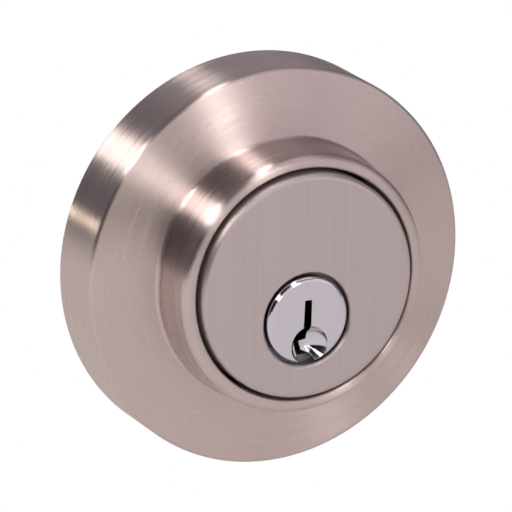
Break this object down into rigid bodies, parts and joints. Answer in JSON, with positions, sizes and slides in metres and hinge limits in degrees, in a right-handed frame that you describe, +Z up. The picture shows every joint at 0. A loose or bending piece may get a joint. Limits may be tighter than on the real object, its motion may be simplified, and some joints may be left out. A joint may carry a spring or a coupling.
{
  "type": "deadbolt door lock",
  "caption": "Single-cylinder tubular deadbolt: round keyed outside rosette, latch with thrown bolt, and inside turn piece, set out as in a door.",
  "frame": {"origin": "where the axis of the door's cross bore meets the door's outer face", "axes": "-Y outdoors, +Y indoors along the cross bore, +X towards the door's edge, +Z up"},
  "size_m": [0.1175, 0.0946, 0.0636],
  "materials": {
    "satin_nickel": "satin nickel, finely turned",
    "brushed_nickel": "satin nickel, brushed straight",
    "polished_chrome": "polished",
    "brass": "machined",
    "cast_zinc": "die cast, tumbled",
    "zinc_plated_steel": "zinc plated, stamped",
    "spring_steel": "hardened, dark",
    "nylon": "moulded"
  },
  "bodies": {
    "lock_case": {"rosette": "satin_nickel", "face_cap": "brushed_nickel", "cylinder_housing": "cast_zinc", "pin_springs": "spring_steel", "chamber_cover": "brass", "anti_drill_pins": "spring_steel", "bore_ring": "zinc_plated_steel", "ring_screws": "zinc_plated_steel", "faceplate": "brushed_nickel", "backplate": "zinc_plated_steel", "latch_tube": "zinc_plated_steel", "case_head": "zinc_plated_steel", "case_plate_outer": "zinc_plated_steel", "case_plate_inner": "zinc_plated_steel", "case_spacers": "zinc_plated_steel", "detent_leaf": "spring_steel", "faceplate_screws": "satin_nickel", "inside_plate": "zinc_plated_steel", "through_bolts": "zinc_plated_steel", "inside_rosette": "satin_nickel", "set_screw": "spring_steel", "turn_bush": "nylon", "wave_washer": "spring_steel"},
    "drive": {"tailpiece": "zinc_plated_steel", "crank": "cast_zinc", "thumbturn": "satin_nickel", "turn_clip": "spring_steel"},
    "plug_set": {"plug": "polished_chrome", "retaining_clip": "spring_steel", "tail_pin": "zinc_plated_steel"},
    "key_pin_set": {"key_pins": "brass"},
    "driver_pin_set": {"driver_pins": "zinc_plated_steel"},
    "bolt_set": {"bolt": "brushed_nickel", "saw_pin": "spring_steel", "bolt_tail": "zinc_plated_steel", "tail_rivets": "zinc_plated_steel", "yoke_pin": "spring_steel"}
  },
  "joints": [
    {"name": "thumbturn_turn", "type": "hinge", "parent": "lock_case", "child": "drive", "pos_m": [0, 0.0445, -0.0053], "axis": [0, -1, 0], "range_deg": [0, 90]},
    {"name": "key_turn", "type": "hinge", "parent": "lock_case", "child": "plug_set", "pos_m": [0, -0.0215, -0.0053], "axis": [0, -1, 0], "range_deg": [0, 90]},
    {"name": "bolt_slide", "type": "slide", "parent": "lock_case", "child": "bolt_set", "axis": [-1, 0, 0], "range_m": [0, 0.0254]},
    {"name": "driver_pin_lift", "type": "slide", "parent": "lock_case", "child": "driver_pin_set", "axis": [0, 0, 1], "range_m": [0, 0.0015], "stiffness_N_per_m": 60, "springref_m": -0.002, "deforming": ["pin_springs"]},
    {"name": "key_pin_drop", "type": "slide", "parent": "plug_set", "child": "key_pin_set", "axis": [0, 0, -1], "range_m": [0, 0.001]}
  ],
  "couplings": [
    {"joint": "thumbturn_turn", "follows": "bolt_slide", "rad_per_m": 61.842},
    {"joint": "key_turn", "follows": "bolt_slide", "rad_per_m": 61.842}
  ]
}
